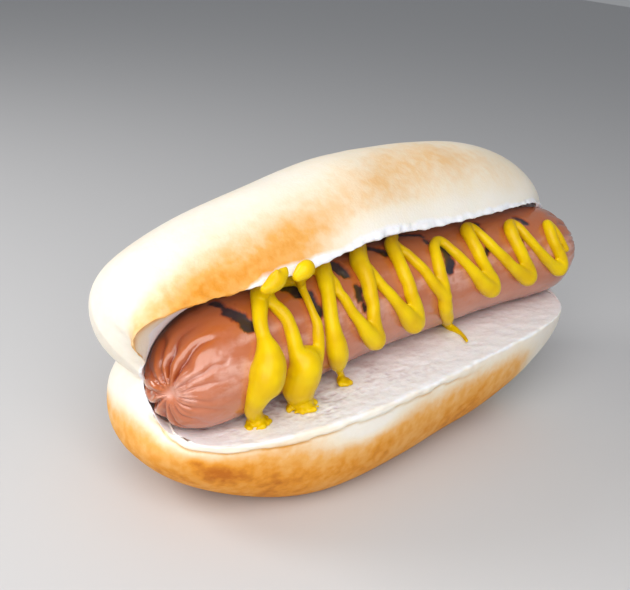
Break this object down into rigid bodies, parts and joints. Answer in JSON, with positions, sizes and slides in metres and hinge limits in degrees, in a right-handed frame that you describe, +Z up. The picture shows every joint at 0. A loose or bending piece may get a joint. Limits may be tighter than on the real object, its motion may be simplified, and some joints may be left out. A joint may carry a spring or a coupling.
{
  "type": "hot dog",
  "caption": "Grilled sausage in a soft bun hinged along its back, with a zigzag of yellow mustard squeezed over it.",
  "frame": {"origin": "on the surface that the hot dog rests on, under the middle of its box", "axes": "+X along the bun, -Y towards the open front, +Z up"},
  "size_m": [0.1489, 0.0625, 0.0658],
  "materials": {
    "bun": "soft baked bread: smooth golden crust outside, pale open crumb on the cut faces",
    "sausage": "grilled sausage skin: satin pink brown with dark grill marks and a glossy puckered tip",
    "mustard": "smooth wet yellow mustard"
  },
  "bodies": {
    "root": {"bun": "bun", "sausage": "sausage", "mustard": "mustard"}
  },
  "joints": []
}
